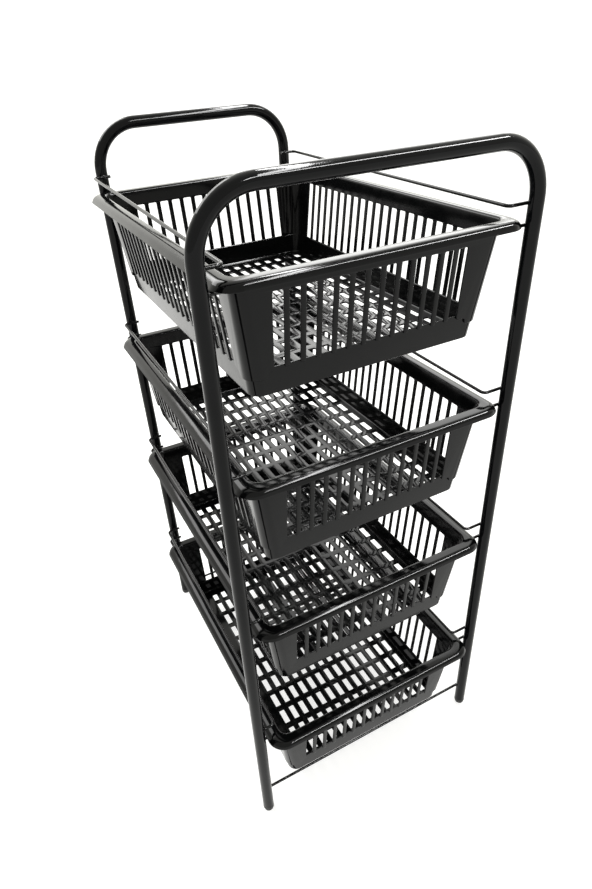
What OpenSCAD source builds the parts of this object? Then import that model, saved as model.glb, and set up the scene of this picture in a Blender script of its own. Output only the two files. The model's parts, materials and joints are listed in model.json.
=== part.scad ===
// Free-standing four-tier rack: two bent tube frames joined by bent wire rails,
// with four identical slotted baskets that slide out on the rails.
// Millimetres, +Z up, front towards -Y. Origin: centre of the footprint, on the floor.

/* [Tube frames] */
// Height over the top bars
rack_h = 888; // [870:1:910]
// Width over the front legs
front_w = 380; // [378:1:400]
// Width over the rear legs
rear_w = 300; // [290:1:304]
// Depth over the legs
rack_d = 499; // [495:1:510]
// Outside diameter of the tube
tube_d = 16; // [14:0.5:17]
// Wall thickness of the tube
tube_wall = 1.2; // [0.8:0.1:2]
// Centreline radius of the two upper bends
bend_r = 57; // [40:1:70]
// How far the legs stand behind the middle of the footprint
legs_back = 7.5; // [5:0.1:10]

/* [Wires] */
// Diameter of every wire
wire_d = 4; // [3:0.5:5]
// Distance of a rail from the middle plane
rail_x = 155; // [154:0.5:157]
// Height of the lowest support wire
low_rail_z = 154; // [150:1:170]
// Height from one tier to the next
tier_pitch = 213.7; // [190:0.1:220]
// Height of a guard wire above its support wire
guard_rise = 22.2; // [20:0.1:30]
// Centreline radius where a rail turns to its leg
rail_bend_r = 6; // [4:0.5:8]
// Height of the front cross wire
cross_front_z = 31.5; // [20:0.5:32]
// Height of the rear cross wire
cross_rear_z = 29.5; // [20:0.5:40]
// How far each weld sinks a wire into its tube
weld_sink = 0.5; // [0.2:0.1:1]

/* [Leg plugs] */
// Height of a plug's visible head
plug_head_h = 9; // [6:0.5:14]
// Rounding round the bottom of the head
plug_round = 5; // [2:0.5:6]
// Length of the shank inside the tube
plug_shank_h = 18; // [10:1:30]
// How much larger the shank is than the bore, on the radius
plug_squeeze = 0.05; // [0.02:0.01:0.1]

/* [Basket rim] */
// Length over the rim
rim_l = 482; // [470:1:482]
// Width over the bottom edge of the rim's skirts
rim_w = 339; // [330:1:341]
// Width over the flat top of the rim
rim_top_w = 325; // [322:1:330]
// Height of the skirt round the rim
skirt_h = 8.8; // [6:0.1:8.8]
// Thickness of the rim
rim_wall = 2.2; // [1.8:0.1:2.2]
// Corner radius at the bottom edge of the skirt
rim_corner_r = 24; // [18:1:28]
// Corner radius of the flat top of the rim
rim_top_corner_r = 19; // [14:1:24]
// Width of the slots in the rear skirt that pass over the rails
notch_w = 8; // [7:0.5:10]

/* [Basket body] */
// Depth of the basket under the top of its rim
basket_h = 127.5; // [115:0.5:127.5]
// Width over the walls at the rim
body_w = 304; // [290:1:304]
// Length over the walls at the rim
body_l = 449; // [430:1:450]
// Inward lean of each wall per unit of depth
wall_lean = 0.113; // [0.08:0.001:0.14]
// Wall thickness
wall = 1.9; // [1.5:0.1:2.2]
// Outside corner radius at the rim
body_top_r = 14; // [10:1:20]
// Outside corner radius at the bottom
body_low_r = 16; // [10:1:20]
// Thickness of the floor
floor_t = 2; // [1.5:0.5:2.5]
// How far the band stands below the floor
foot_h = 1.5; // [1:0.5:2]
// How far the solid band round the bottom is set in
band_inset = 2.3; // [2:0.1:3]
// Depth at which the band starts
band_top = 97; // [90:0.5:100]
// Depth at which the bar ends stop, over the band
bar_end = 99.5; // [98:0.5:105]
// Depth at which the panels beside the slots stop, over the band
panel_end = 101; // [100.5:0.5:103]
// Depth at which the corner panels stop, over the band
corner_end = 108; // [104:0.5:115]
// How far from the corner's rounding a corner panel reaches
corner_reach = 5; // [3:0.5:8]

/* [Basket openings] */
// Depth of the upper end of every wall slot
slot_top = 20.5; // [16:0.5:30]
// Number of slots in the front and in the rear wall
end_slots = 13; // [11:1:13]
// Spacing of those slots
end_pitch = 17.3; // [15:0.1:17.5]
// Width of the bar between two of them
end_bar = 5.9; // [4:0.1:8]
// How far the front wall's slots stand to the left of the middle
front_shift = 3.3; // [0:0.1:4]
// Number of slots in each side wall
side_slots = 21; // [17:1:21]
// Spacing of those slots
side_pitch = 17.75; // [15:0.05:18]
// Width of the bar between two of them
side_bar = 6.1; // [4:0.1:8]
// Number of columns of holes in the floor
floor_columns = 14; // [10:1:14]
// Spacing of those columns
column_pitch = 17.25; // [15:0.05:17.3]
// How far the columns stand to the right of the middle
columns_right = 8.7; // [0:0.1:8.7]
// Number of rows of full holes in the floor
floor_rows = 10; // [8:1:10]
// Spacing of those rows
row_pitch = 34.2; // [30:0.1:34.3]
// Width of a floor hole
hole_w = 8.6; // [6:0.1:9]
// Length of a full hole
hole_l = 24.4; // [20:0.1:26]
// Length of a hole in the short row at either end
short_hole_l = 16; // [10:0.5:17]

/* [Basket positions] */
// Rim top above the support wire at the front of a closed basket
rise_front = 11.5; // [11.5:0.1:14]
// Rim top above the support wire at the rear of a closed basket
rise_rear = 4.6; // [4.6:0.1:6]
// Gap left between a closed basket and the rear wire ends
stop_gap = 0.5; // [0.3:0.1:2]
// How far the top basket stands out from closed
pull_1 = 0; // [0:0.5:300]
// How far the second basket stands out from closed
pull_2 = 2; // [0:0.5:300]
// How far the third basket stands out from closed
pull_3 = 4; // [0:0.5:300]
// How far the lowest basket stands out from closed
pull_4 = 12; // [0:0.5:300]

/* [Hidden] */
$fn = 64;

// Corner facets of the lofted basket shapes
loft_fn = 32;
// Thickness of the two slices each loft runs between
slice = 0.02;
// How far a cutting shape reaches past the surface it opens
past = 1;

tube_r = tube_d / 2;
bore_r = tube_r - tube_wall;
wire_r = wire_d / 2;
front_x = front_w / 2 - tube_r;
rear_x = rear_w / 2 - tube_r;
leg_y = rack_d / 2 - tube_r;
top_z = rack_h - tube_r;

// Centre line of the wire parts that lie against the legs, measured from the rack's middle
weld_y = leg_y - tube_r - wire_r + weld_sink;
// How far a rail end and a cross wire end run past the leg's own edge or middle
rear_end_x = rear_x - tube_r - 1;
cross_over = 3;

tilt = atan((rise_front - rise_rear) / rim_l);
closed_y = weld_y - wire_r - stop_gap - rim_l / 2;
end_span = end_slots * end_pitch - end_bar;
side_span = side_slots * side_pitch - side_bar;

// Where each wall meets its corner's rounding, low on the body
low_x = body_w / 2 - wall_lean * panel_end - body_low_r;
low_y = body_l / 2 - wall_lean * panel_end - body_low_r;

function support_z(tier) = low_rail_z + (4 - tier) * tier_pitch;

// Rounded rectangle centred on the origin
module plate(w, l, r) {
    square([w - 2 * r, l], center = true);
    square([w, l - 2 * r], center = true);
    for (sx = [-1, 1], sy = [-1, 1])
        translate([sx * (w / 2 - r), sy * (l / 2 - r)])
            circle(r, $fn = loft_fn);
}

// Solid between two rounded rectangles at the depths given
module loft(d1, w1, l1, r1, d2, w2, l2, r2) {
    hull() {
        translate([0, 0, -d1 - slice])
            linear_extrude(slice)
                plate(w1, l1, r1);
        translate([0, 0, -d2])
            linear_extrude(slice)
                plate(w2, l2, r2);
    }
}

// Part of the tapered basket body between two depths, set in from the outside face
module body(d1, d2, inset) {
    w1 = body_w - 2 * (wall_lean * d1 + inset);
    l1 = body_l - 2 * (wall_lean * d1 + inset);
    w2 = body_w - 2 * (wall_lean * d2 + inset);
    l2 = body_l - 2 * (wall_lean * d2 + inset);
    r1 = body_top_r + (body_low_r - body_top_r) * d1 / basket_h - inset;
    r2 = body_top_r + (body_low_r - body_top_r) * d2 / basket_h - inset;
    loft(d1, w1, l1, r1, d2, w2, l2, r2);
}

module ring() {
    difference() {
        circle(tube_r);
        circle(bore_r);
    }
}

// One bent tube, its legs half_x either side of the middle
module tube_frame(half_x) {
    translate([-(half_x - bend_r), 0, top_z])
        rotate([0, 90, 0])
            linear_extrude(2 * (half_x - bend_r))
                ring();
    for (side = [0, 1])
        mirror([side, 0, 0]) {
            translate([half_x, 0, plug_head_h])
                linear_extrude(top_z - bend_r - plug_head_h)
                    ring();
            translate([half_x - bend_r, 0, top_z - bend_r])
                rotate([90, 0, 0])
                    rotate_extrude(angle = 90)
                        translate([bend_r, 0])
                            ring();
        }
}

module front_frame() {
    color([0.03, 0.03, 0.035])
        translate([0, legs_back - leg_y, 0])
            tube_frame(front_x);
}

module rear_frame() {
    color([0.03, 0.03, 0.035])
        translate([0, legs_back + leg_y, 0])
            tube_frame(rear_x);
}

// Straight wire along X at the position given
module cross_wire(half_l, y, z) {
    color([0.05, 0.05, 0.055])
        translate([-half_l, y, z])
            rotate([0, 90, 0])
                cylinder(r = wire_r, h = 2 * half_l);
}

module front_cross_wire() {
    cross_wire(front_x + cross_over, legs_back - weld_y, cross_front_z);
}

module rear_cross_wire() {
    cross_wire(rear_x + cross_over, legs_back + weld_y, cross_rear_z);
}

// Quarter bend of wire, from +X round to +Y
module wire_bend() {
    rotate_extrude(angle = 90)
        translate([rail_bend_r, 0])
            circle(wire_r);
}

// Rail on the right: outward to the front leg, inward across the rear leg
module rail() {
    run_y = weld_y - rail_bend_r;
    out_l = front_x - rail_x - rail_bend_r;
    in_l = rail_x - rail_bend_r - rear_end_x;
    translate([rail_x, run_y, 0])
        rotate([90, 0, 0])
            cylinder(r = wire_r, h = 2 * run_y);
    translate([rail_x + rail_bend_r, -run_y, 0])
        rotate([0, 0, 180])
            wire_bend();
    translate([rail_x + rail_bend_r, -weld_y, 0])
        rotate([0, 90, 0])
            cylinder(r = wire_r, h = out_l);
    translate([rail_x - rail_bend_r, run_y, 0])
        wire_bend();
    translate([rear_end_x, weld_y, 0])
        rotate([0, 90, 0])
            cylinder(r = wire_r, h = in_l);
}

// Rail of a tier, raised above its support height; left is 1 on the left side
module placed_rail(tier, raise, left) {
    color([0.05, 0.05, 0.055])
        translate([0, legs_back, support_z(tier) + raise])
            mirror([left, 0, 0])
                rail();
}

// Leg plug: a head the size of the tube, rounded below, and a shank that fills the bore
module plug(x, y) {
    flat_r = tube_r - plug_round;
    color([0.02, 0.02, 0.02])
        translate([x, y, 0])
            rotate_extrude() {
                square([flat_r, plug_head_h]);
                translate([flat_r, plug_round])
                    square([plug_round, plug_head_h - plug_round]);
                translate([flat_r, plug_round])
                    intersection() {
                        circle(plug_round);
                        translate([0, -plug_round])
                            square(plug_round);
                    }
                square([bore_r + plug_squeeze, plug_head_h + plug_shank_h]);
            }
}

// Row of upright bars of empty space, centred, as wide as the slots between the bars
module slot_row(count, pitch, bar) {
    for (i = [0 : count - 1])
        translate([(i - (count - 1) / 2) * pitch, 0])
            square([pitch - bar, band_top - slot_top], center = true);
}

// A row of slots cut along Y, through one wall or two
module wall_slots(count, pitch, bar, reach) {
    translate([0, reach / 2, -(slot_top + band_top) / 2])
        rotate([90, 0, 0])
            linear_extrude(reach)
                slot_row(count, pitch, bar);
}

// Slots of the front and rear walls; the front row stands a little to the left
module end_wall_slots() {
    reach = body_l / 2 + past;
    for (front = [0, 1])
        translate([-front * front_shift, (1 - 2 * front) * reach / 2, 0])
            wall_slots(end_slots, end_pitch, end_bar, reach);
}

// Grid of holes in the floor, with a row of shorter holes at each end
module floor_holes() {
    grid_l = floor_rows * row_pitch;
    rib = row_pitch - hole_l;
    short_y = (grid_l + rib + short_hole_l) / 2;
    translate([columns_right, 0, -basket_h - past])
        linear_extrude(foot_h + floor_t + 2 * past)
            for (i = [0 : floor_columns - 1])
                translate([(i - (floor_columns - 1) / 2) * column_pitch, 0]) {
                    for (j = [0 : floor_rows - 1])
                        translate([0, (j - (floor_rows - 1) / 2) * row_pitch])
                            square([hole_w, hole_l], center = true);
                    for (s = [-1, 1])
                        translate([0, s * short_y])
                            square([hole_w, short_hole_l], center = true);
                }
}

// Rim: flat top with a skirt that flares at the sides, hollow underneath
module rim() {
    difference() {
        loft(0, rim_top_w, rim_l - 1, rim_top_corner_r, skirt_h, rim_w, rim_l, rim_corner_r);
        loft(rim_wall, rim_top_w - rim_wall, rim_l - 1 - 2 * rim_wall, rim_top_corner_r - rim_wall,
            skirt_h + past, rim_w - 2 * rim_wall + 1, rim_l - 2 * rim_wall, rim_corner_r - rim_wall);
    }
}

// Cut that ends the outer walls at a depth, over the middle part of each wall
module trim(depth, half_x, half_y) {
    h = corner_end - depth + past;
    translate([0, 0, -depth - h / 2]) {
        cube([2 * half_x, body_l + past, h], center = true);
        cube([body_w + past, 2 * half_y, h], center = true);
    }
}

// Basket with the middle of its rim top at the origin
module basket() {
    difference() {
        union() {
            rim();
            difference() {
                body(0, corner_end, 0);
                trim(panel_end, low_x - corner_reach, low_y - corner_reach);
                trim(bar_end, end_span / 2, side_span / 2);
            }
            body(band_top - past, basket_h, band_inset);
        }
        body(-past, band_top, wall);
        body(band_top - past, basket_h - foot_h - floor_t, band_inset + wall);
        body(basket_h - foot_h, basket_h + past, band_inset + wall);
        end_wall_slots();
        rotate([0, 0, 90])
            wall_slots(side_slots, side_pitch, side_bar, body_w + past);
        floor_holes();
        for (s = [-1, 1])
            translate([s * rail_x - notch_w / 2, body_l / 2 + past, -skirt_h - past])
                cube([notch_w, rim_l / 2 - body_l / 2, skirt_h + past - rim_wall]);
    }
}

module placed_basket(tier, pull) {
    rise = (rise_front + rise_rear) / 2;
    color([0.08, 0.085, 0.09])
        translate([0, legs_back + closed_y, support_z(tier) + rise])
            rotate([-tilt, 0, 0])
                translate([0, -pull, 0])
                    basket();
}

front_frame();
rear_frame();
front_cross_wire();
rear_cross_wire();
plug(-front_x, legs_back - leg_y);  // plug_front_left
plug(front_x, legs_back - leg_y);  // plug_front_right
plug(-rear_x, legs_back + leg_y);  // plug_rear_left
plug(rear_x, legs_back + leg_y);  // plug_rear_right
placed_rail(1, guard_rise, 1);  // guard_1_left
placed_rail(1, guard_rise, 0);  // guard_1_right
placed_rail(1, 0, 1);  // support_1_left
placed_rail(1, 0, 0);  // support_1_right
placed_rail(2, guard_rise, 1);  // guard_2_left
placed_rail(2, guard_rise, 0);  // guard_2_right
placed_rail(2, 0, 1);  // support_2_left
placed_rail(2, 0, 0);  // support_2_right
placed_rail(3, guard_rise, 1);  // guard_3_left
placed_rail(3, guard_rise, 0);  // guard_3_right
placed_rail(3, 0, 1);  // support_3_left
placed_rail(3, 0, 0);  // support_3_right
placed_rail(4, guard_rise, 1);  // guard_4_left
placed_rail(4, guard_rise, 0);  // guard_4_right
placed_rail(4, 0, 1);  // support_4_left
placed_rail(4, 0, 0);  // support_4_right
placed_basket(1, pull_1);  // basket_1
placed_basket(2, pull_2);  // basket_2
placed_basket(3, pull_3);  // basket_3
placed_basket(4, pull_4);  // basket_4
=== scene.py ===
"""Looks of the four-tier basket rack.

Moulded baskets and weld beads are built here; the frames, wires and plugs keep their CAD meshes.
"""

import json
import math

import bmesh
import bpy
from mathutils import Matrix, Vector, noise
from mathutils.geometry import tessellate_polygon


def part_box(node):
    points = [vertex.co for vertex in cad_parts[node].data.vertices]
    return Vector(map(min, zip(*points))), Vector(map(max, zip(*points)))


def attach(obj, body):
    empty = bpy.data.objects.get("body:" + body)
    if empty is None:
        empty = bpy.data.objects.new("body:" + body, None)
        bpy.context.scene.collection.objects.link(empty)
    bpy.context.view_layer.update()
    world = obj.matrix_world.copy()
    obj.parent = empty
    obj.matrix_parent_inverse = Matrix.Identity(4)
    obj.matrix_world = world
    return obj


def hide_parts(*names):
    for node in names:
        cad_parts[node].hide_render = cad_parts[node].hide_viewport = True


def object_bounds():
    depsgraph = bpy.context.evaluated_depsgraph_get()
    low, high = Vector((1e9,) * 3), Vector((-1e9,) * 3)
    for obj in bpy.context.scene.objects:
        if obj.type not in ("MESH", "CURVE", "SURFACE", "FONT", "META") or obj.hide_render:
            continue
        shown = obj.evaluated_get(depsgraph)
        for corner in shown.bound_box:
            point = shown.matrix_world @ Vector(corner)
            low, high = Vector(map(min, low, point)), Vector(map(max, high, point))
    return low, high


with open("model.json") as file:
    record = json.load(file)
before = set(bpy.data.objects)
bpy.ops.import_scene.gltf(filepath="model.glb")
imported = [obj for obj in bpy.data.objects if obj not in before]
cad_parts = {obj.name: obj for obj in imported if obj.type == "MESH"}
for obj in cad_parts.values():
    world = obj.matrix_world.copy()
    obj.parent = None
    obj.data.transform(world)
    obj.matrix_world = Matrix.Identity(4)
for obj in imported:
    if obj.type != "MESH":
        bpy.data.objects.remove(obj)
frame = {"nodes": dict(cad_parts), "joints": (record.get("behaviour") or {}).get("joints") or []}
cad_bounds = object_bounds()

MM = 0.001

# Basket sizes are in millimetres. Depths are measured down from the top of the rim,
# x and y from the middle of the rim. R marks a radius.

# Body: its half sizes at the rim, how much it narrows with depth, and its corners
BODY_HALF_X, BODY_HALF_Y = 152.0, 224.5
LEAN = 0.113
DEPTH = 127.5
TOP_R, LOW_R = 14.0, 16.0
SKIN = 2.35
EDGE = 0.6
CORNER_CUTS, CORNER_STEPS = (20.0, 40.0), 7

# Slotted walls, from the collar down to the ends of the bars and panels
COLLAR_LOW = 18.5
SLOT_TOP, SLOT_R = 20.5, 1.5
BAR_END, BAR_R = 99.6, 1.6
PANEL_END, PANEL_R = 101.0, 3.0
CORNER_END = 108.3
STEP_BACK, STEP_R = 19.5, 3.5
END_SLOTS, END_PITCH, END_BAR = 13, 17.3, 5.9
FRONT_SHIFT = 3.3
SIDE_SLOTS, SIDE_PITCH, SIDE_BAR = 21, 17.75, 6.0

# Band round the bottom: insets of its outer and inner face from the body, and its rounding
BAND_OUT, BAND_IN = 2.3, 4.2
BAND_TOP = 97.0
LEDGE_R, LEDGE_EDGE = 1.2, 0.3
FOOT_R, FOOT_EDGE = 1.2, 0.4
FLOOR_R = 2.0

# Floor and the holes in it; the first and last rows of holes lie in shorter cells
FLOOR_TOP, FLOOR_LOW = 124.0, 126.0
HOLE_COLUMNS, COLUMN_PITCH, COLUMNS_RIGHT = 14, 17.25, 8.7
HOLE_ROWS, ROW_PITCH, END_CELL, RIB = 10, 34.2, 25.8, 9.8
HOLE_W, HOLE_R, HOLE_EDGE = 8.6, 0.9, 0.35
HOLE_ARC_STEPS = 3

# Rim: the end of its rear rolled edge and the depth of its skirt
RIM_HALF_Y = 240.5
SKIRT = 8.8
# Roll of the rim, from its flat top down to the skirt: where it starts, how far it reaches
# outward and down, and the angle it covers
ROLL_SIDE, ROLL_END = (157.2, 11.7, 9.5, 75.0), (233.5, 7.0, 5.2, 90.0)
ROLL_STEPS = 6
# Corner radius at the start of the roll, and its growth for each millimetre outward
ROLL_R, ROLL_R_GROWTH = 16.4, 0.61
# Easing of the rim's inner edge: where it starts, how far it reaches inward and down
EASE_SIDE, EASE_END, EASE_IN, EASE_DOWN = 154.0, 226.5, 3.9, 3.2
EASE_R, EASE_STEPS = 15.9, 4
# Notches in the rear skirt, on the lines of the wires, between two stations of the section
RAIL_X, NOTCH_W = 155.0, 8.0
NOTCH_FROM, NOTCH_TO = 3, 12

SMOOTH_UP_TO = math.radians(50)

# Legs and the weld beads on them, in millimetres; how uneven a bead is, as shares of its size
FRONT_LEG_X, REAR_LEG_X = 182.0, 142.0
BEAD_HALF = (3.1, 1.2, 3.0)
BEAD_BACK = 0.35
BEAD_LUMP, BEAD_RIPPLE = 0.22, 0.06

# Camera place in metres, its angles in degrees and its lens in millimetres; floor in metres
CAMERA_PLACE = (-0.3354, -0.7096, 0.9760)
CAMERA_AZIMUTH, CAMERA_ELEVATION, CAMERA_ROLL = -26.125, 33.411, -3.247
CAMERA_LENS, CAMERA_SENSOR = 25.49, 36.0
FLOOR_RADIUS, FLOOR_GAP = 40.0, 0.0002

# Surroundings: the way to their bright side, and how strong they are on the dim and bright sides
BRIGHT_SIDE = (0.35, 0.8, 0.4)
DIM_STRENGTH, BRIGHT_STRENGTH = 0.95, 2.1


def body_x(d):
    return BODY_HALF_X - LEAN * d


def body_y(d):
    return BODY_HALF_Y - LEAN * d


def body_r(d):
    return TOP_R + (LOW_R - TOP_R) * d / DEPTH


def arc_steps(cuts=CORNER_CUTS):
    """Angles round a corner, from the end wall to the side wall, with two that may be moved."""
    near, far = cuts
    steps = [0, near / 2, near, (near + far) / 2]
    steps += [far + (90 - far) * k / CORNER_STEPS for k in range(CORNER_STEPS + 1)]
    return [math.radians(a) for a in steps]


CORNER_POINTS = len(arc_steps())


def ring(half_x, half_y, r, side_d, end_d, steps):
    """Points of a rounded rectangle, anticlockwise from the front right corner."""
    points = []
    for sx, sy in ((1, -1), (1, 1), (-1, 1), (-1, -1)):
        arc = []
        for a in steps:
            share = a / (math.pi / 2)
            d = end_d + (side_d - end_d) * share
            x = half_x - r + r * math.sin(a)
            y = half_y - r + r * math.cos(a)
            arc.append((sx * x, sy * y, -d))
        if sx * sy > 0:
            arc.reverse()
        points += arc
    return points


def body_ring(inset, d):
    """Ring at one depth, set in from the body's outside face."""
    return ring(body_x(d) - inset, body_y(d) - inset, body_r(d) - inset, d, d, arc_steps())


def add_points(bm, points):
    return [bm.verts.new(p) for p in points]


def bridge(bm, low, high, skip=()):
    """Faces between two closed rows of points, apart from those at the steps in skip."""
    n = len(low)
    for i in range(n):
        if i not in skip:
            bm.faces.new((low[i], low[(i + 1) % n], high[(i + 1) % n], high[i]))


def notch_steps(half_x, r):
    """Angles round a corner, with the two that lie on the sides of a notch."""
    cuts = []
    for x in (RAIL_X - NOTCH_W / 2, RAIL_X + NOTCH_W / 2):
        cuts.append(math.degrees(math.asin((x - half_x + r) / r)))
    return arc_steps(cuts)


def rim_stations():
    """Section of the rim, from the collar's outside round the skirt to the collar's inside.

    Each station is side x, side depth, end y, end depth and corner radius.
    """
    half_x, half_y, r = body_x(COLLAR_LOW), body_y(COLLAR_LOW), body_r(COLLAR_LOW)
    stations = [(half_x, COLLAR_LOW, half_y, COLLAR_LOW, r)]
    # Underside of the rim, where it lies on the wires
    stations.append((151.6, 3.8, 224.1, 3.8, 14.1))
    stations.append((153.0, 2.15, 225.5, 2.15, 15.2))
    stations.append((160.2, 2.35, 236.6, 2.35, 17.2))
    # Inside, lower edge and outside of the skirt
    stations.append((162.4, 3.6, 238.0, 3.6, 18.8))
    stations.append((167.0, 8.7, 238.8, 8.7, 22.7))
    stations.append((169.2, SKIRT, 240.8, SKIRT, 24.0))
    stations.append((169.5, 8.4, 241.0, 8.4, 24.0))
    stations.append((169.2, 7.7, 240.9, 7.7, 23.8))
    for k in range(ROLL_STEPS, -1, -1):
        places = []
        for start, out, down, angle in (ROLL_SIDE, ROLL_END):
            a = math.radians(angle * k / ROLL_STEPS)
            places += [start + out * math.sin(a), down * (1 - math.cos(a))]
        stations.append((*places, ROLL_R + ROLL_R_GROWTH * (places[0] - ROLL_SIDE[0])))
    for k in range(EASE_STEPS + 1):
        a = math.radians(90 * k / EASE_STEPS)
        reach, d = EASE_IN * math.sin(a), EASE_DOWN * (1 - math.cos(a))
        stations.append((EASE_SIDE - reach, d, EASE_END - reach, d, EASE_R - reach))
    stations.append((half_x - SKIN, COLLAR_LOW, half_y - SKIN, COLLAR_LOW, r - SKIN))
    return stations


def add_rim(bm):
    """Rim and collar as one swept section, with two notches in the rear skirt."""
    rings = []
    for k, (side_x, side_d, end_y, end_d, r) in enumerate(rim_stations()):
        steps = notch_steps(side_x, r) if NOTCH_FROM <= k <= NOTCH_TO else arc_steps()
        rings.append(add_points(bm, ring(side_x, end_y, r, side_d, end_d, steps)))
    # Steps across the two notches: the rear corners' arcs meet at point 2n
    n = CORNER_POINTS
    open_steps = {2 * n - 5, 2 * n - 4, 2 * n + 2, 2 * n + 3}
    for k in range(len(rings) - 1):
        inside = NOTCH_FROM <= k < NOTCH_TO
        bridge(bm, rings[k], rings[k + 1], open_steps if inside else ())
    for i in open_steps:
        top, under = rings[NOTCH_TO], rings[NOTCH_FROM]
        bm.faces.new((under[i], under[i + 1], top[i + 1], top[i]))
    for low, high in ((2 * n - 5, 2 * n - 3), (2 * n + 2, 2 * n + 4)):
        for i in (low, high):
            bm.faces.new([rings[k][i] for k in range(NOTCH_FROM, NOTCH_TO + 1)])


def arc_points(cu, cd, r, start, end, steps):
    """Points on a small arc in a wall's plane, angles in degrees from +u towards deeper."""
    points = []
    for k in range(steps + 1):
        a = math.radians(start + (end - start) * k / steps)
        points.append((cu + r * math.cos(a), cd + r * math.sin(a)))
    return points


def half_panel(edge, span, o):
    """Lower edge of the panel on the left of the slots, set o into the material."""
    step = edge(0) - STEP_BACK
    low = CORNER_END - o
    points = [(-edge(low), low)]
    points += arc_points(-step - STEP_R, CORNER_END - STEP_R, STEP_R - o, 90, 0, 4)
    points += arc_points(-step + STEP_R, PANEL_END + STEP_R, STEP_R + o, 180, 270, 4)
    points += arc_points(-span - PANEL_R, PANEL_END - PANEL_R, PANEL_R - o, 90, 0, 4)
    return points


def comb(edge, slots, pitch, bar, shift, o):
    """Lower outline of a slotted wall from left to right, set o into the material."""
    span = (slots * pitch - bar) / 2
    points = half_panel(edge, span - shift, o)
    half = (pitch - bar) / 2
    crown, tip = SLOT_TOP + SLOT_R, BAR_END - BAR_R
    for i in range(slots):
        mid = (i - (slots - 1) / 2) * pitch + shift
        left, right = mid - half, mid + half
        points += arc_points(left + SLOT_R, crown, SLOT_R + o, 180, 270, 3)
        points += arc_points(right - SLOT_R, crown, SLOT_R + o, 270, 360, 3)
        if i < slots - 1:
            points += arc_points(right + BAR_R, tip, BAR_R - o, 180, 90, 3)
            points += arc_points(right + bar - BAR_R, tip, BAR_R - o, 90, 0, 3)
    points += [(-u, d) for u, d in reversed(half_panel(edge, span + shift, o))]
    return points


def add_wall(bm, place, edge, slots, pitch, bar, shift=0.0):
    """A slotted wall: outer and inner faces with eased edges round every slot."""
    plain = comb(edge, slots, pitch, bar, shift, 0)
    eased = comb(edge, slots, pitch, bar, shift, EDGE)
    top = [(edge(COLLAR_LOW), COLLAR_LOW), (-edge(COLLAR_LOW), COLLAR_LOW)]
    layers = ((eased, 0), (plain, EDGE), (plain, SKIN - EDGE), (eased, SKIN))
    rows = [add_points(bm, [place(u, d, inset) for u, d in path]) for path, inset in layers]
    for low, high in zip(rows, rows[1:]):
        for i in range(len(plain) - 1):
            bm.faces.new((low[i], low[i + 1], high[i + 1], high[i]))
    flat = [Vector((u, d, 0)) for u, d in eased + top]
    triangles = tessellate_polygon([flat])
    for row, inset in ((rows[0], 0), (rows[-1], SKIN)):
        verts = row + add_points(bm, [place(u, d, inset) for u, d in top])
        for triangle in triangles:
            bm.faces.new([verts[i] for i in triangle])


def add_corners(bm):
    """Unslotted corners between the walls, from the collar to the corner panels' lower edge."""
    stations = (
        (0, COLLAR_LOW),
        (0, CORNER_END - EDGE),
        (EDGE, CORNER_END),
        (SKIN - EDGE, CORNER_END),
        (SKIN, CORNER_END - EDGE),
        (SKIN, COLLAR_LOW),
    )
    rings = [add_points(bm, body_ring(inset, d)) for inset, d in stations]
    straight = {CORNER_POINTS * k - 1 for k in range(1, 5)}
    for low, high in zip(rings, rings[1:]):
        bridge(bm, low, high, straight)


def cell_corner(column, row):
    """Corner of the cell round a floor hole; the first and last rows of cells are shorter."""
    y = (row - 1 - HOLE_ROWS / 2) * ROW_PITCH
    if row == 0:
        y += ROW_PITCH - END_CELL
    if row == HOLE_ROWS + 2:
        y += END_CELL - ROW_PITCH
    return ((column - HOLE_COLUMNS / 2) * COLUMN_PITCH + COLUMNS_RIGHT, y)


def hole_outline(low, high, o):
    """Outline of the hole in a cell, set o into the floor, anticlockwise."""
    mid_x, mid_y = (low[0] + high[0]) / 2, (low[1] + high[1]) / 2
    dx, dy = HOLE_W / 2 - HOLE_R, (high[1] - low[1] - RIB) / 2 - HOLE_R
    points = []
    for sx, sy, start in ((1, -1, 270), (1, 1, 0), (-1, 1, 90), (-1, -1, 180)):
        x, y = mid_x + sx * dx, mid_y + sy * dy
        points += arc_points(x, y, HOLE_R + o, start, start + 90, HOLE_ARC_STEPS)
    return points


def add_floor_side(bm, boundary, d):
    """Border on one face of the floor, up to the grid that add_floor fills."""
    columns, rows = HOLE_COLUMNS, HOLE_ROWS + 2
    outline = [cell_corner(c, 0) for c in range(columns)]
    outline += [cell_corner(columns, r) for r in range(rows)]
    outline += [cell_corner(c, rows) for c in range(columns, 0, -1)]
    outline += [cell_corner(0, r) for r in range(rows, 0, -1)]
    hole = add_points(bm, [(x, y, -d) for x, y in outline])
    verts = list(boundary) + hole
    loops = [[Vector((v.co.x, v.co.y, 0)) for v in boundary]]
    loops.append([Vector((x, y, 0)) for x, y in outline])
    for triangle in tessellate_polygon(loops):
        bm.faces.new([verts[i] for i in triangle])


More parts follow.
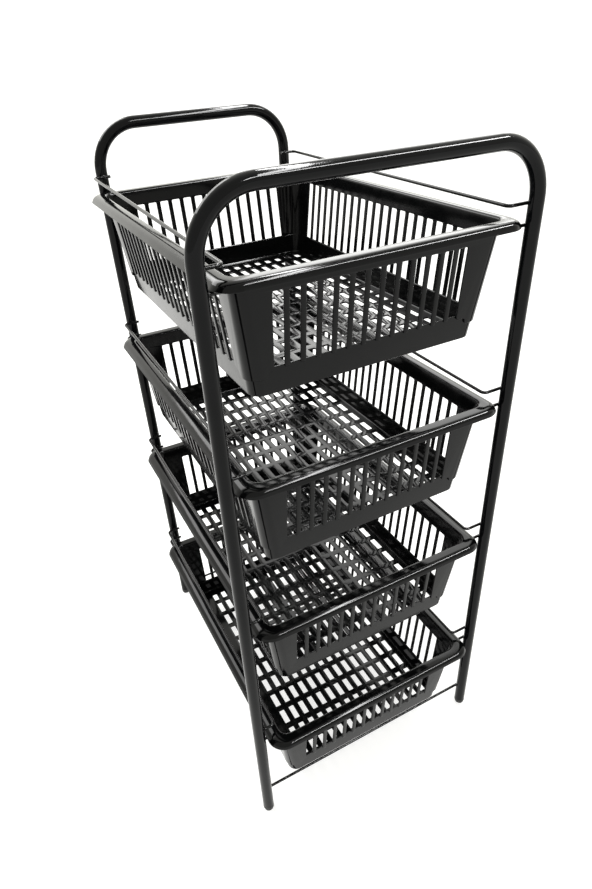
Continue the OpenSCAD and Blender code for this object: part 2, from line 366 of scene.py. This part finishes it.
def add_cell(bm, low, high):
    """One rounded hole through the floor with the flat round it on both faces."""
    layers = (
        (HOLE_EDGE, FLOOR_TOP),
        (0, FLOOR_TOP + HOLE_EDGE),
        (0, FLOOR_LOW - HOLE_EDGE),
        (HOLE_EDGE, FLOOR_LOW),
    )
    loops = []
    for o, d in layers:
        loops.append(add_points(bm, [(x, y, -d) for x, y in hole_outline(low, high, o)]))
    for near, far in zip(loops, loops[1:]):
        bridge(bm, near, far)
    cell = ((high[0], low[1]), high, (low[0], high[1]), low)
    for loop, d in ((loops[0], FLOOR_TOP), (loops[-1], FLOOR_LOW)):
        corners = add_points(bm, [(x, y, -d) for x, y in cell])
        for k, corner in enumerate(corners):
            first = (HOLE_ARC_STEPS + 1) * k
            arc = loop[first : first + HOLE_ARC_STEPS + 1]
            for a, b in zip(arc, arc[1:]):
                bm.faces.new((corner, a, b))
            following = loop[(first + HOLE_ARC_STEPS + 1) % len(loop)]
            bm.faces.new((corner, arc[-1], following, corners[(k + 1) % 4]))


def add_floor(bm, top_ring, low_ring):
    """Floor slab with its grid of rounded holes."""
    add_floor_side(bm, top_ring, FLOOR_TOP)
    add_floor_side(bm, low_ring, FLOOR_LOW)
    for column in range(HOLE_COLUMNS):
        for row in range(HOLE_ROWS + 2):
            add_cell(bm, cell_corner(column, row), cell_corner(column + 1, row + 1))


def band_stations():
    """Section of the band, from the floor's top over the ledge and the foot to its underside.

    Each station is the inset from the body's outside face and the depth.
    """
    ledge, foot = BAND_TOP + LEDGE_EDGE, DEPTH - FOOT_R
    stations = arc_points(BAND_IN + FLOOR_R, FLOOR_TOP - FLOOR_R, FLOOR_R, 90, 180, 3)
    stations += arc_points(BAND_IN - LEDGE_R, BAND_TOP + LEDGE_R, LEDGE_R, 0, -90, 3)
    stations += arc_points(BAND_OUT + LEDGE_EDGE, ledge, LEDGE_EDGE, 270, 180, 1)
    stations += arc_points(BAND_OUT + FOOT_R, foot, FOOT_R, 180, 90, 3)
    stations += arc_points(BAND_IN - FOOT_EDGE, DEPTH - FOOT_EDGE, FOOT_EDGE, 90, 0, 2)
    stations.append((BAND_IN, FLOOR_LOW + LEDGE_EDGE))
    stations.append((BAND_IN + LEDGE_EDGE, FLOOR_LOW))
    return stations


def add_band(bm):
    """Band round the bottom and the floor inside it."""
    rings = [add_points(bm, body_ring(inset, d)) for inset, d in band_stations()]
    for low, high in zip(rings, rings[1:]):
        bridge(bm, low, high)
    add_floor(bm, rings[0], rings[-1])


def add_walls(bm):
    """Four slotted walls, on both sides of the basket; only the front one is shifted."""
    for s in (-1, 1):
        add_wall(
            bm,
            lambda u, d, inset: (u, s * (body_y(d) - inset), -d),
            lambda d: body_x(d) - body_r(d),
            END_SLOTS,
            END_PITCH,
            END_BAR,
            min(s, 0) * FRONT_SHIFT,
        )
        add_wall(
            bm,
            lambda u, d, inset: (s * (body_x(d) - inset), u, -d),
            lambda d: body_y(d) - body_r(d),
            SIDE_SLOTS,
            SIDE_PITCH,
            SIDE_BAR,
        )


def smooth_mesh(bm, name):
    """Mesh of what is built in bm, which is freed."""
    mesh = bpy.data.meshes.new(name)
    bm.to_mesh(mesh)
    bm.free()
    mesh.polygons.foreach_set("use_smooth", [True] * len(mesh.polygons))
    return mesh


def add_object(name, data):
    obj = bpy.data.objects.new(name, data)
    bpy.context.scene.collection.objects.link(obj)
    return obj


def basket_mesh():
    """One basket in millimetres, with the middle of its rim top at the origin."""
    bm = bmesh.new()
    add_rim(bm)
    add_corners(bm)
    add_walls(bm)
    add_band(bm)
    bmesh.ops.remove_doubles(bm, verts=bm.verts, dist=0.001)
    bmesh.ops.recalc_face_normals(bm, faces=bm.faces)
    mesh = smooth_mesh(bm, "basket")
    mesh.set_sharp_from_angle(angle=SMOOTH_UP_TO)
    return mesh


def noise_node(nodes, links, coords, scale, detail, rough):
    node = nodes.new("ShaderNodeTexNoise")
    node.inputs["Scale"].default_value = scale
    node.inputs["Detail"].default_value = detail
    node.inputs["Roughness"].default_value = rough
    links.new(coords, node.inputs["Vector"])
    return node.outputs["Fac"]


def mapped(nodes, links, noise_value, low, high):
    """Spread the middle of a noise over the values from low to high."""
    node = nodes.new("ShaderNodeMapRange")
    node.inputs["From Min"].default_value = 0.3
    node.inputs["From Max"].default_value = 0.7
    node.inputs["To Min"].default_value = low
    node.inputs["To Max"].default_value = high
    links.new(noise_value, node.inputs["Value"])
    return node.outputs["Result"]


def two_colours(nodes, links, factor, first, second):
    node = nodes.new("ShaderNodeMix")
    node.data_type = "RGBA"
    node.inputs["A"].default_value = (*first, 1.0)
    node.inputs["B"].default_value = (*second, 1.0)
    links.new(factor, node.inputs["Factor"])
    return node.outputs["Result"]


def bump(nodes, links, height, distance):
    node = nodes.new("ShaderNodeBump")
    node.inputs["Strength"].default_value = 1.0
    node.inputs["Distance"].default_value = distance
    links.new(height, node.inputs["Height"])
    return node


def finish_material(name, dark, light, rough, ior, grain, swell):
    """Black finish: mottled colour, uneven gloss, fine grain and a slow swell in the surface.

    The grain and the swell are each a noise scale and a bump distance in metres.
    """
    mat = bpy.data.materials.new(name)
    mat.use_nodes = True
    nodes, links = mat.node_tree.nodes, mat.node_tree.links
    shader = nodes["Principled BSDF"]
    coords = nodes.new("ShaderNodeTexCoord").outputs["Object"]
    shader.inputs["IOR"].default_value = ior

    mottle = mapped(nodes, links, noise_node(nodes, links, coords, 28.0, 4.0, 0.6), 0.0, 1.0)
    links.new(two_colours(nodes, links, mottle, dark, light), shader.inputs["Base Color"])
    smear = mapped(nodes, links, noise_node(nodes, links, coords, 45.0, 3.0, 0.55), *rough)
    links.new(smear, shader.inputs["Roughness"])

    slow = bump(nodes, links, noise_node(nodes, links, coords, swell[0], 1.0, 0.4), swell[1])
    fine = bump(nodes, links, noise_node(nodes, links, coords, grain[0], 2.0, 0.5), grain[1])
    links.new(slow.outputs["Normal"], fine.inputs["Normal"])
    links.new(fine.outputs["Normal"], shader.inputs["Normal"])
    return mat


def basket_plastic():
    return finish_material(
        "basket_plastic",
        dark=(0.0014, 0.0015, 0.0017),
        light=(0.0028, 0.003, 0.0032),
        rough=(0.06, 0.12),
        ior=1.25,
        grain=(1400.0, 0.000008),
        swell=(38.0, 0.00014),
    )


def tube_paint():
    return finish_material(
        "tube_paint",
        dark=(0.0014, 0.0016, 0.0019),
        light=(0.0026, 0.0029, 0.0033),
        rough=(0.05, 0.09),
        ior=1.23,
        grain=(520.0, 0.00002),
        swell=(60.0, 0.0001),
    )


def wire_paint():
    return finish_material(
        "wire_paint",
        dark=(0.003, 0.0031, 0.0033),
        light=(0.006, 0.0061, 0.0064),
        rough=(0.09, 0.15),
        ior=1.28,
        grain=(800.0, 0.00002),
        swell=(110.0, 0.00008),
    )


def plug_rubber():
    return finish_material(
        "plug_rubber",
        dark=(0.006, 0.006, 0.006),
        light=(0.010, 0.010, 0.010),
        rough=(0.50, 0.62),
        ior=1.45,
        grain=(1500.0, 0.00004),
        swell=(90.0, 0.0001),
    )


def build_baskets(material):
    """The same basket on each sliding body, at the tilt of the body's joint."""
    local = basket_mesh()
    for joint in frame["joints"]:
        body = joint["child"]
        number = body.rsplit("_", 1)[1]
        node = "basket_" + number
        low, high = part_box(node)
        axis = Vector(joint["axis"])
        tilt = math.atan2(axis.z, -axis.y)
        mid_y = (low.y + high.y) / 2 + SKIRT * MM * math.sin(tilt)
        top_z = high.z - RIM_HALF_Y * MM * math.sin(tilt)
        mesh = local.copy()
        mesh.name = "moulded_" + node
        mesh.transform(
            Matrix.Translation((0, mid_y, top_z))
            @ Matrix.Rotation(-tilt, 4, "X")
            @ Matrix.Scale(MM, 4)
        )
        mesh.materials.append(material)
        obj = add_object("moulded_" + node, mesh)
        normals = obj.modifiers.new("normals", "WEIGHTED_NORMAL")
        normals.keep_sharp = True
        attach(obj, body)
        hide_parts(node)
    bpy.data.meshes.remove(local)


def weld_places():
    """Points where a wire touches a leg, and the sign of the leg's side along y."""
    places = []
    for name in frame["nodes"]:
        kind = name.split("_")[0]
        if kind not in ("guard", "support") and "cross" not in name:
            continue
        low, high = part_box(name)
        mid_z = (low.z + high.z) / 2
        sides = [s for s, other in ((-1, "right"), (1, "left")) if not name.endswith(other)]
        ends = [e for e, other in ((-1, "rear"), (1, "front")) if not name.startswith(other)]
        for end in ends:
            leg_x = (FRONT_LEG_X if end < 0 else REAR_LEG_X) * MM
            y = low.y if end < 0 else high.y
            places += [(Vector((s * leg_x, y, mid_z)), end) for s in sides]
    return places


def add_bead(bm, place, seed):
    """Lumpy bead of weld metal round a crossing of wire and tube."""
    made = bmesh.ops.create_icosphere(bm, subdivisions=3, radius=1.0)
    for vert in made["verts"]:
        lump = 1 + BEAD_LUMP * noise.noise(vert.co * 1.6 + Vector((seed * 7.3, 0, seed)))
        lump += BEAD_RIPPLE * noise.noise(vert.co * 5.0 + Vector((0, seed * 3.1, 0)))
        scaled = Vector(v * h for v, h in zip(vert.co, BEAD_HALF))
        vert.co = place + scaled * lump * MM


def build_beads(material):
    """A bead at every weld, sunk a little into the leg."""
    bm = bmesh.new()
    for seed, (place, end) in enumerate(weld_places()):
        add_bead(bm, place - Vector((0, end * BEAD_BACK * MM, 0)), seed)
    mesh = smooth_mesh(bm, "weld_beads")
    mesh.materials.append(material)
    obj = add_object("weld_beads", mesh)
    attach(obj, "rack")


def finish_nodes():
    """Materials of the frames, wires and plugs, and the beads in the wires' paint."""
    tube, wire, rubber = tube_paint(), wire_paint(), plug_rubber()
    build_beads(wire)
    for name, obj in frame["nodes"].items():
        if name.endswith("_frame"):
            mat = tube
        elif name.startswith("plug"):
            mat = rubber
        else:
            mat = wire
        if not name.startswith("basket"):
            for slot in obj.material_slots:
                slot.material = mat


def pale_floor():
    """White studio floor, which glows a little so that it stays white."""
    mat = bpy.data.materials.new("pale_floor")
    mat.use_nodes = True
    nodes, links = mat.node_tree.nodes, mat.node_tree.links
    shader = nodes["Principled BSDF"]
    shader.inputs["Roughness"].default_value = 0.9
    shader.inputs["Specular IOR Level"].default_value = 0.1
    shader.inputs["Emission Color"].default_value = (1.0, 1.0, 0.995, 1.0)
    shader.inputs["Emission Strength"].default_value = 0.72
    coords = nodes.new("ShaderNodeTexCoord").outputs["Object"]
    cloud = noise_node(nodes, links, coords, 3.0, 2.0, 0.5)
    colour = two_colours(nodes, links, cloud, (0.46, 0.46, 0.455), (0.5, 0.5, 0.495))
    links.new(colour, shader.inputs["Base Color"])
    bm = bmesh.new()
    bmesh.ops.create_circle(bm, cap_ends=True, radius=FLOOR_RADIUS, segments=96)
    mesh = smooth_mesh(bm, "floor")
    mesh.materials.append(mat)
    floor = add_object("floor", mesh)
    floor.location = (0, 0, cad_bounds[0][2] - FLOOR_GAP)


def soft_world():
    """Bright surroundings beyond the rack and dimmer ones on the camera's side."""
    world = bpy.data.worlds.new("studio")
    bpy.context.scene.world = world
    world.use_nodes = True
    nodes, links = world.node_tree.nodes, world.node_tree.links
    back = nodes["Background"]
    back.inputs["Color"].default_value = (1.0, 0.995, 0.94, 1.0)
    coords = nodes.new("ShaderNodeTexCoord").outputs["Generated"]
    dot = nodes.new("ShaderNodeVectorMath")
    dot.operation = "DOT_PRODUCT"
    dot.inputs[1].default_value = Vector(BRIGHT_SIDE).normalized()
    links.new(coords, dot.inputs[0])
    ramp = nodes.new("ShaderNodeMapRange")
    ramp.interpolation_type = "SMOOTHSTEP"
    ramp.inputs["From Min"].default_value = 0.0
    ramp.inputs["From Max"].default_value = 0.95
    ramp.inputs["To Min"].default_value = DIM_STRENGTH
    ramp.inputs["To Max"].default_value = BRIGHT_STRENGTH
    links.new(dot.outputs["Value"], ramp.inputs["Value"])
    links.new(ramp.outputs["Result"], back.inputs["Strength"])


def area_light(name, place, target, size, power, lights_floor):
    """Rectangular light in metres and watts; without lights_floor it's only a reflection."""
    data = bpy.data.lights.new(name, "AREA")
    data.shape = "RECTANGLE"
    data.size, data.size_y = size
    data.energy = power
    obj = add_object(name, data)
    obj.location = place
    obj.rotation_euler = (Vector(target) - Vector(place)).to_track_quat("-Z", "Y").to_euler()
    obj.visible_diffuse = lights_floor


def add_lights():
    """One broad light on the floor behind the rack, and three seen only as reflections."""
    area_light("backdrop_light", (-0.6, 1.3, 1.7), (-0.6, 1.3, 0), (1.2, 1.2), 34, True)
    area_light("overhead_strip", (0.7, -0.35, 2.4), (0.5, -0.35, 0), (2.4, 0.12), 62, False)
    area_light("rear_softbox", (1.7, 2.0, 2.2), (0, 0, 0.5), (2.0, 1.6), 36, False)
    area_light("front_strip", (0.95, -1.15, 2.1), (0, -0.25, 0.6), (1.8, 0.12), 68, False)


def add_camera():
    """Camera at the photograph's viewpoint, fitted to the rack's edges."""
    azimuth, elevation = math.radians(CAMERA_AZIMUTH), math.radians(CAMERA_ELEVATION)
    roll = math.radians(CAMERA_ROLL)
    back = Vector(
        (
            math.sin(azimuth) * math.cos(elevation),
            -math.cos(azimuth) * math.cos(elevation),
            math.sin(elevation),
        )
    )
    right = Vector((math.cos(azimuth), math.sin(azimuth), 0))
    up = back.cross(right)
    turned = math.cos(roll) * right + math.sin(roll) * up
    up = -math.sin(roll) * right + math.cos(roll) * up
    data = bpy.data.cameras.new("camera")
    data.lens = CAMERA_LENS
    data.sensor_width = CAMERA_SENSOR
    data.clip_end = 100
    obj = add_object("camera", data)
    turn = Matrix((turned, up, back)).transposed().to_4x4()
    obj.matrix_world = Matrix.Translation(CAMERA_PLACE) @ turn
    bpy.context.scene.camera = obj


add_camera()
finish_nodes()
build_baskets(basket_plastic())
pale_floor()
soft_world()
add_lights()
bpy.context.scene.view_settings.view_transform = "Standard"
